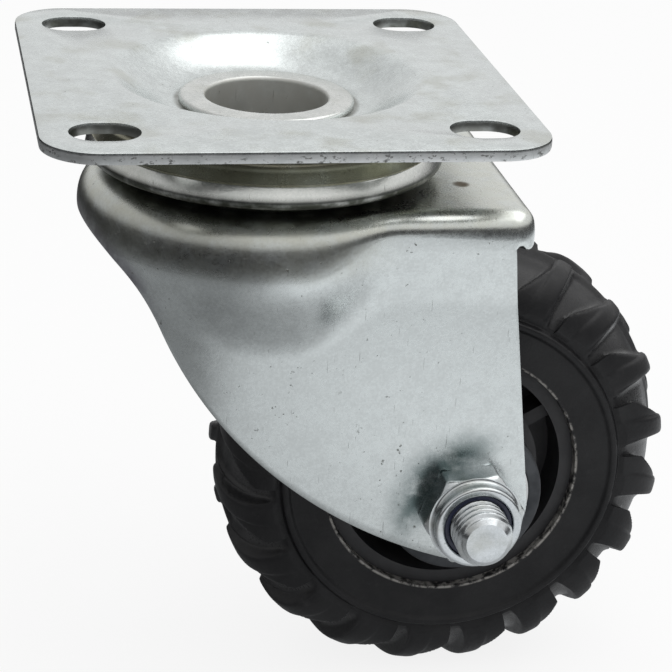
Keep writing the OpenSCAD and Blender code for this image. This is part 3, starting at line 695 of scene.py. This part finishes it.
class Value:
    """A socket of a material's nodes; arithmetic on it adds Math nodes to the same tree."""

    def __init__(self, paint, socket):
        self.paint = paint
        self.socket = socket

    def __add__(self, other):
        return self.paint.math("ADD", self, other)

    def __radd__(self, other):
        return self.paint.math("ADD", other, self)

    def __sub__(self, other):
        return self.paint.math("SUBTRACT", self, other)

    def __rsub__(self, other):
        return self.paint.math("SUBTRACT", other, self)

    def __mul__(self, other):
        return self.paint.math("MULTIPLY", self, other)

    def __rmul__(self, other):
        return self.paint.math("MULTIPLY", other, self)

    def __truediv__(self, other):
        return self.paint.math("DIVIDE", self, other)

    def __rtruediv__(self, other):
        return self.paint.math("DIVIDE", other, self)

    def __pow__(self, other):
        return self.paint.math("POWER", self, other)

    def __rpow__(self, other):
        return self.paint.math("POWER", other, self)

    def __abs__(self):
        return self.paint.math("ABSOLUTE", self)

    def step(self, low, high):
        """Smooth step of this value from 0 at low to 1 at high."""
        return self.paint.node("ShaderNodeMapRange", {"interpolation_type": "SMOOTHSTEP"},
                               {"Value": self, "From Min": low, "From Max": high})


class Paint:
    """The nodes of one material or world, with places on the piece in millimetres or directions from it."""

    def __init__(self, owner, coordinates="Object", scale=1 / MM):
        owner.use_nodes = True
        self.owner = owner
        self.tree = owner.node_tree
        self.tree.nodes.clear()
        self.place = self.node("ShaderNodeTexCoord", {}, {}, coordinates)
        scaled = self.node("ShaderNodeVectorMath", {"operation": "SCALE"}, {0: self.place, "Scale": scale})
        self.x, self.y, self.z = (self.node("ShaderNodeSeparateXYZ", {}, {0: scaled}, axis) for axis in "XYZ")

    def node(self, kind, settings, sockets, output=0):
        """Adds a node, sets its settings, then its sockets by name or number, and wraps one of its outputs. A
        colour is three numbers."""
        node = self.tree.nodes.new(kind)
        for key, value in settings.items():
            setattr(node, key, value)
        for key, value in sockets.items():
            socket = node.inputs[key]
            if isinstance(value, Value):
                self.tree.links.new(value.socket, socket)
            else:
                socket.default_value = (*value, 1) if socket.type == "RGBA" else value
        return Value(self, node.outputs[output]) if node.outputs else None

    def math(self, operation, *values):
        """A Math node on one or two values."""
        return self.node("ShaderNodeMath", {"operation": operation}, dict(enumerate(values)))

    def distance(self, across, up):
        """Root of the sum of two values' squares."""
        return (across ** 2.0 + up ** 2.0) ** 0.5

    def ray(self, kind):
        """1 for one kind of ray and 0 for the others."""
        return self.node("ShaderNodeLightPath", {}, {}, kind)

    def noise(self, size, detail, roughness, stretch=(1, 1, 1)):
        """Noise from 0 to 1 with features of about a size in millimetres, stretched along the axes."""
        place = self.place
        if stretch != (1, 1, 1):
            place = self.node("ShaderNodeMapping", {}, {"Vector": place, "Scale": [1 / s for s in stretch]})
        sockets = {"Vector": place, "Scale": 1 / (size * MM), "Detail": detail, "Roughness": roughness}
        return self.node("ShaderNodeTexNoise", {"noise_dimensions": "3D"}, sockets)

    def mix(self, first, second, factor):
        """Goes from one colour to another by a factor from 0 to 1; sockets 6 and 7 are the node's colours."""
        return self.node("ShaderNodeMix", {"data_type": "RGBA"}, {0: factor, 6: first, 7: second}, 2)

    def bump(self, height, depth):
        """Normal of a surface that rises by depth millimetres where height is 1."""
        return self.node("ShaderNodeBump", {}, {"Height": height, "Distance": depth * MM, "Strength": 1.0})

    def surface(self, **sockets):
        """Ends the material in a Principled surface with those sockets, written with _ for spaces."""
        sockets = {key.replace("_", " "): value for key, value in sockets.items()}
        shader = self.node("ShaderNodeBsdfPrincipled", {}, sockets)
        self.node("ShaderNodeOutputMaterial", {}, {"Surface": shader})
        return self.owner


def material(name):
    """A new material's nodes."""
    return Paint(bpy.data.materials.new(name))


def zinc(name, pale, dull, marks, rough=0.26):
    """Zinc plating: a cloudy grey with fine mottling, dark specks and short scratches; marks(paint) lists
    stains and painted shade as a share of cover, a colour and how much rougher they are."""
    paint = material(name)
    cloud = paint.noise(24, 3, 0.55)
    mottle = paint.noise(3.4, 4, 0.62)
    grain = paint.noise(0.6, 2, 0.6)
    specks = paint.noise(1.3, 2, 0.6).step(0.69, 0.76) * paint.noise(17, 2, 0.5).step(0.38, 0.62)
    scratch = paint.noise(2.2, 1, 0.5, stretch=(0.10, 1, 2.6)).step(0.765, 0.80)
    colour = paint.mix(dull, pale, (cloud * 0.2 + mottle * 0.4 + grain * 0.4).step(0.36, 0.64))
    roughness = rough + (cloud - 0.5) * 0.10 + (mottle - 0.5) * 0.12 + (grain - 0.5) * 0.10 + specks * 0.2
    patchy = 0.35 + 0.65 * paint.noise(5, 4, 0.65).step(0.25, 0.6)
    for cover, tint, rougher in marks(paint):
        colour = paint.mix(colour, tint, cover * patchy)
        roughness = roughness + cover * rougher
    colour = paint.mix(colour, (0.10, 0.095, 0.075), specks * 0.65 + scratch * 0.5)
    relief = grain * 0.35 + mottle * 0.65 - specks * 0.6 - scratch * 0.5
    return paint.surface(Base_Color=colour, Metallic=1.0, Roughness=roughness,
                         Normal=paint.bump(relief, 0.03))


def plate_marks(paint):
    """Olive patches round the dish and dirt round the rivet; sheared sides, rough, with dark torn spots;
    painted shade on the walls in the slots and on the underside round them."""
    r = paint.distance(paint.x, paint.y)
    olive = paint.noise(12, 3, 0.5).step(0.50, 0.68) * r.step(19, 27)
    dirt = 1 - r.step(KINGPIN_FLARE_R + 0.4, KINGPIN_FLARE_R + 1.6)
    corner_x = paint.math("MAXIMUM", abs(paint.x) - (PLATE_L / 2 - PLATE_CORNER_R), 0.0)
    corner_y = paint.math("MAXIMUM", abs(paint.y) - (PLATE_W / 2 - PLATE_CORNER_R), 0.0)
    rim = paint.distance(corner_x, corner_y).step(PLATE_CORNER_R - 0.8, PLATE_CORNER_R - 0.3)
    low = 1 - paint.z.step(-0.8, -0.3)
    side = low * rim
    # painted shade: the slot walls and the underside away from the outer edge are darkened
    slot = low * (1 - rim) * r.step(38, 40)
    torn = side * paint.noise(1.1, 3, 0.7, stretch=(1.6, 1.6, 0.8)).step(0.54, 0.66)
    return [(olive * 0.35, OLIVE, 0.05), (side, (0.86, 0.88, 0.88), 0.22),
            (torn * 0.9, (0.10, 0.10, 0.09), 0.1), (slot * 0.8, (0.16, 0.16, 0.14), 0.1),
            (dirt * 0.8, (0.13, 0.125, 0.10), 0.1)]


def fork_marks(paint):
    """Olive on the shoulder, with painted shade in its dark band; painted shade and reflection of the race
    beside it; painted shade, tinted purple, along the nose's lower edge; a painted reflection and shadow of
    the nut on the leg beside it; and a rusty dimple on the crown's rear."""
    r = paint.distance(paint.x, paint.y)
    # olive tint on the shoulder, partly painted shade: it darkens the band where the bent sheet faces down
    shoulder = paint.z.step(-33, -27) * (1 - paint.z.step(-24, -20.5)) * (1 - paint.x.step(8, 26))
    cream = paint.z.step(-24, -22) * r.step(31, 34)
    # painted shade and reflection of the race and dust ring on the crown's flat round them
    painted_shade = (1 - r.step(32.5, 36)) * paint.z.step(-22, -20)
    # painted shade, tinted purple, along the nose's lower edge
    above_edge = paint.z - NOSE_LOW + (paint.x + (CROWN_R + 0.5)) * 0.87
    nose = (1 - above_edge.step(0.5, 6.5)) * (1 - paint.x.step(-31, -22))
    # painted reflection and shadow of the nut: a dark teal patch on the leg above it and towards the front
    along, up = paint.x - AXLE_X, paint.z - AXLE_Z
    beside_nut = 1 - paint.distance(along, up).step(11.5, 20)
    painted_nut_reflection = beside_nut * (up * 0.66 - along * 0.75).step(2, 10) * (1 - paint.y.step(-20, -10))
    off_dimple = paint.distance(paint.x - DIMPLE_X, paint.y - DIMPLE_Y)
    dimple = (1 - (off_dimple ** 2.0).step(0.8, 4.5)) * paint.z.step(-20.5, -19.5)
    return [(shoulder * 0.5, OLIVE, 0.1), (cream * 0.35, (0.62, 0.60, 0.46), 0.05),
            (painted_shade * 0.5, (0.17, 0.18, 0.14), 0.1), (nose * 0.8, (0.11, 0.09, 0.13), 0.1),
            (painted_nut_reflection * 0.95, (0.09, 0.13, 0.13), 0.0), (dimple, (0.16, 0.12, 0.07), 0.2)]


def race_marks(paint):
    """Olive all over the race."""
    return [(paint.noise(9, 3, 0.5).step(0.2, 0.5), OLIVE, 0.0)]


def rivet_marks(paint):
    """A rough pale bore and a trace of olive."""
    bore = 1 - paint.distance(paint.x, paint.y).step(KINGPIN_BORE_R + 0.1, KINGPIN_BORE_R + 0.6)
    return [(paint.noise(11, 3, 0.5).step(0.5, 0.8) * 0.25, OLIVE, 0.0), (bore, (0.56, 0.56, 0.53), 0.3)]


def dust_marks(paint):
    """Painted shade on the dust ring's lower edge and a trace of olive."""
    # painted shade: the ring's lower edge, which faces the shaded crown, is darkened
    painted_shade = 1 - paint.z.step(DUST_TOP - 3.9, DUST_TOP - 1.9)
    return [(paint.noise(11, 3, 0.5).step(0.45, 0.8) * 0.35, OLIVE, 0.0), (painted_shade, (0.07, 0.075, 0.06), 0.2)]


def fastener_marks(paint):
    """A trace of olive."""
    return [(paint.noise(8, 3, 0.5).step(0.45, 0.75) * 0.4, OLIVE, 0.0)]


def rubber():
    """Black rubber: matt, with a fine cast grain, grey dust, a sheen between the lugs, painted there as a
    lighter colour as well as lower roughness, and pale torn flash round the bore."""
    paint = material("tyre rubber")
    cloud = paint.noise(14, 4, 0.6)
    grain = paint.noise(0.7, 3, 0.6)
    dust = paint.noise(3.2, 5, 0.7).step(0.55, 0.78)
    colour = paint.mix((0.006, 0.006, 0.007), (0.013, 0.013, 0.014), cloud.step(0.35, 0.65))
    colour = paint.mix(colour, (0.05, 0.05, 0.052), dust * 0.3)
    r = paint.distance(paint.x - AXLE_X, paint.z - AXLE_Z)
    off_middle = abs(paint.y)
    casing = CASING_R - (off_middle / CASING_HALF) ** CASING_POWER * (CASING_R - CASING_SIDE_R)
    on_tread = off_middle.step(5, 9) * r.step(RIM_LINE_R + 2, RIM_LINE_R + 4)
    # painted sheen: the casing between the lugs is coloured lighter, and made smoother
    valley = (1 - (r - casing).step(0.3, 1.8)) * on_tread
    colour = paint.mix(colour, (0.035, 0.035, 0.036), valley * (0.4 + 0.6 * cloud))
    past_bore = r - TYRE_BORE_R
    bore_edge = past_bore.step(-0.15, 0.05) * (1 - past_bore.step(0.3, 0.7))
    flash = bore_edge * paint.noise(2.6, 4, 0.7).step(0.40, 0.58)
    colour = paint.mix(colour, (0.34, 0.33, 0.31), flash * 0.8)
    roughness = 0.46 + (grain - 0.5) * 0.25 + dust * 0.15 - valley * 0.18
    return paint.surface(Base_Color=colour, Roughness=roughness, Specular_IOR_Level=0.32,
                         Normal=paint.bump(grain, 0.05))


def plain_metal(name, pale, dull, rough):
    """Machined steel: fine grain and a faint cloud."""
    paint = material(name)
    grain = paint.noise(0.5, 2, 0.5)
    colour = paint.mix(dull, pale, paint.noise(6, 3, 0.5).step(0.3, 0.7))
    roughness = rough + (grain - 0.5) * 0.15
    return paint.surface(Base_Color=colour, Metallic=1.0, Roughness=roughness,
                         Normal=paint.bump(grain, 0.01))


def moulded(name, pale, dull, rough):
    """Moulded plastic: a faint cloud and a fine grain."""
    paint = material(name)
    grain = paint.noise(0.8, 3, 0.6)
    colour = paint.mix(dull, pale, paint.noise(8, 3, 0.5).step(0.3, 0.7))
    roughness = rough + (grain - 0.5) * 0.2
    return paint.surface(Base_Color=colour, Roughness=roughness, Normal=paint.bump(grain, 0.03))


ZINC_PALE = (0.72, 0.76, 0.755)
ZINC_DULL = (0.58, 0.61, 0.605)
OLIVE = (0.33, 0.32, 0.24)
plate_zinc = zinc("plate zinc", ZINC_PALE, ZINC_DULL, plate_marks)
fork_zinc = zinc("fork zinc", ZINC_PALE, ZINC_DULL, fork_marks)
# the race's zinc: olive tint, and darker than the plate's as painted shade where it sits under the plate
race_zinc = zinc("race zinc", (0.50, 0.50, 0.42), (0.36, 0.36, 0.29), race_marks)
rivet_zinc = zinc("rivet zinc", (0.72, 0.73, 0.71), (0.56, 0.58, 0.56), rivet_marks)
dust_zinc = zinc("dust ring zinc", (0.80, 0.81, 0.78), (0.66, 0.68, 0.65), dust_marks, rough=0.22)
fastener_zinc = zinc("fastener zinc", (0.70, 0.73, 0.75), (0.56, 0.59, 0.60), fastener_marks, rough=0.22)
tyre_rubber = rubber()
bearing_steel = plain_metal("bearing steel", (0.62, 0.62, 0.62), (0.50, 0.50, 0.50), 0.22)
greased_steel = plain_metal("greased steel", (0.11, 0.11, 0.095), (0.07, 0.07, 0.06), 0.4)
shield_steel = plain_metal("shield steel", (0.36, 0.36, 0.37), (0.28, 0.28, 0.29), 0.4)
hub_steel = plain_metal("hub steel", (0.10, 0.104, 0.11), (0.055, 0.058, 0.062), 0.45)
core_plastic = moulded("core plastic", (0.03, 0.03, 0.032), (0.018, 0.018, 0.02), 0.55)
nylon = moulded("nylon insert", (0.02, 0.025, 0.055), (0.012, 0.015, 0.035), 0.35)


# Pieces

def add_object(name, data):
    """A new object in the scene, at the origin."""
    item = bpy.data.objects.new(name, data)
    bpy.context.scene.collection.objects.link(item)
    return item


def add_piece(name, body, finish, shape, node, crease=CREASE):
    """Puts points in millimetres and their faces into a mesh, merges points that meet, turns its faces
    outwards, shades it smooth up to the crease angle, fixes it to a body and returns the CAD node that it
    replaces."""
    points, faces = shape
    mesh = bpy.data.meshes.new(name)
    mesh.from_pydata(points * MM, [], faces if isinstance(faces, list) else faces.tolist())
    work = bmesh.new()
    work.from_mesh(mesh)
    bmesh.ops.remove_doubles(work, verts=work.verts, dist=0.002 * MM)
    bmesh.ops.recalc_face_normals(work, faces=work.faces)
    work.to_mesh(mesh)
    work.free()
    mesh.polygons.foreach_set("use_smooth", np.ones(len(mesh.polygons), bool))
    mesh.set_sharp_from_angle(angle=crease)
    mesh.materials.append(finish)
    piece = add_object(name, mesh)
    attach(piece, body)
    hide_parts(node)
    return node


nylon_section = ring_section(BOLT_R + FIT, INSERT_R - FIT, INSERT_LOW, COLLAR_TOP - 0.5, 0.35)
replaced = {
    add_piece("plate_sheet", "plate", plate_zinc, plate_solid(), "top_plate"),
    add_piece("kingpin_rivet", "plate", rivet_zinc, turned(kingpin_section()), "kingpin"),
    add_piece("pressed_race", "plate", race_zinc, turned(race_section()), "upper_race"),
    add_piece("dust_bead", "plate", dust_zinc, turned(dust_ring_section()), "dust_ring"),
    add_piece("pressed_fork", "fork", fork_zinc, fork_solid(), "fork"),
    add_piece("threaded_bolt", "fork", fastener_zinc, on_axle(*bolt_surface()), "axle_bolt"),
    add_piece("collar_nut", "fork", fastener_zinc, on_axle(*nut_surface()), "lock_nut"),
    add_piece("nylon_ring", "fork", nylon, on_axle(*turned(nylon_section)), "nut_insert"),
    add_piece("lugged_tyre", "wheel", tyre_rubber, on_axle(*tyre_surface()), "tyre",
              crease=TYRE_CREASE),
    add_piece("turned_hub", "wheel", hub_steel, on_axle(*turned(hub_section())), "hub_tube"),
}

slot_finish = {"bearing_steel": bearing_steel, "shield_steel": shield_steel, "core_plastic": core_plastic,
               "zinc_race": race_zinc, "zinc_fastener": fastener_zinc}
greased = {"upper_balls", "lower_balls"}
for part in frame["record"]["subparts"]:
    node = part["node"]
    if node not in replaced:
        mesh = frame["nodes"][node].data
        mesh.materials.clear()
        mesh.materials.append(greased_steel if node in greased else slot_finish[part["material_slot"]])


# Floor, light and camera

def stage_floor():
    """Pale floor under the wheel: the camera sees it nearly white with a soft shadow; to metal it glows with
    painted light and shade, bright near the castor on the right, grey on the left, with a painted shadow
    round the wheel and dark far away."""
    half = 6.0
    mesh = bpy.data.meshes.new("floor")
    mesh.from_pydata(np.column_stack([half * CORNERS, np.full(4, FLOOR_Z * MM)]), [], [[0, 1, 2, 3]])
    paint = material("floor")
    mirrored = paint.ray("Is Glossy Ray")
    # painted light and shade for mirrored rays: a pool of light on the right, a shadow round the wheel,
    # fading to dark far away
    away = paint.distance(paint.x - 25, paint.y)
    right_side = 0.30 + 0.70 * paint.x.step(-75, 70)
    clear_of_wheel = 0.50 + 0.50 * away.step(50, 170)
    near_by = 1 - 0.93 * away.step(300, 440)
    mirror_tone = paint.mix((0, 0, 0), (0.96, 0.98, 1.0), right_side * clear_of_wheel * near_by)
    tone = paint.mix((1, 1, 1), mirror_tone, mirrored)
    matt = paint.node("ShaderNodeBsdfDiffuse", {}, {"Color": (0.86, 0.86, 0.86)})
    white = paint.node("ShaderNodeEmission", {}, {"Color": tone, "Strength": 1.0})
    white_share = (paint.ray("Is Camera Ray") + paint.ray("Is Transmission Ray")) * 0.85 + mirrored
    both = paint.node("ShaderNodeMixShader", {}, {0: white_share, 1: matt, 2: white})
    paint.node("ShaderNodeOutputMaterial", {}, {"Surface": both})
    mesh.materials.append(paint.owner)
    floor = add_object("floor", mesh)


def studio_world():
    """Soft light from all round above, less of it from the left; the studio is dark near the horizon, and the
    camera sees plain white."""
    paint = Paint(bpy.data.worlds.new("studio"), "Generated", 1)
    above_horizon = (paint.z + paint.y * 0.12).step(0.0, 0.2)
    right_side = 0.62 + 0.38 * paint.x.step(-0.8, 0.1)
    overhead = 0.86 + 0.14 * paint.z.step(0.5, 0.95)
    studio = paint.mix((0.04, 0.04, 0.045), (1, 1, 1), above_horizon * right_side * overhead)
    tone = paint.mix(studio, (1, 1, 1), paint.ray("Is Camera Ray"))
    light = paint.node("ShaderNodeBackground", {}, {"Color": tone, "Strength": 1.0})
    paint.node("ShaderNodeOutputWorld", {}, {"Surface": light})
    bpy.context.scene.world = paint.owner


def soft_lamp(name, place, size, power):
    """Square soft lamp at a place in metres, aimed at the middle of the castor."""
    light = bpy.data.lights.new(name, "AREA")
    light.size = size
    light.energy = power
    lamp = add_object(name, light)
    away = Vector(place) - Vector((0.02, 0, -0.05))
    lamp.matrix_world = Matrix.LocRotScale(place, away.to_track_quat("Z", "Y"), None)


def photo_camera():
    """Camera above and to the left of the near side, turned by yaw, pitch and roll, with its lens from the
    focal length in pixels of a 672 pixel frame."""
    image_size = 672
    focal_pixels = 2304.3
    yaw, pitch, roll = 0.2020, 0.3950, 0.0550
    place = Vector((-74.6, -448.7, 132.2)) * MM
    level = Matrix(((1, 0, 0), (0, 0, -1), (0, 1, 0)))
    tilt = Matrix.Rotation(roll, 3, "Z") @ Matrix.Rotation(pitch, 3, "X")
    right, down, ahead = tilt @ level @ Matrix.Rotation(yaw, 3, "Z")
    data = bpy.data.cameras.new("photo camera")
    data.sensor_width = 36
    data.lens = focal_pixels / image_size * data.sensor_width
    data.clip_start = 0.01
    camera = add_object("photo camera", data)
    turn = Matrix((right, -down, -ahead)).transposed()
    camera.matrix_world = Matrix.Translation(place) @ turn.to_4x4()
    bpy.context.scene.camera = camera


stage_floor()
studio_world()
soft_lamp("key", (0.30, -0.05, 0.60), 0.8, 1.8)
photo_camera()
bpy.context.scene.view_settings.view_transform = "Standard"
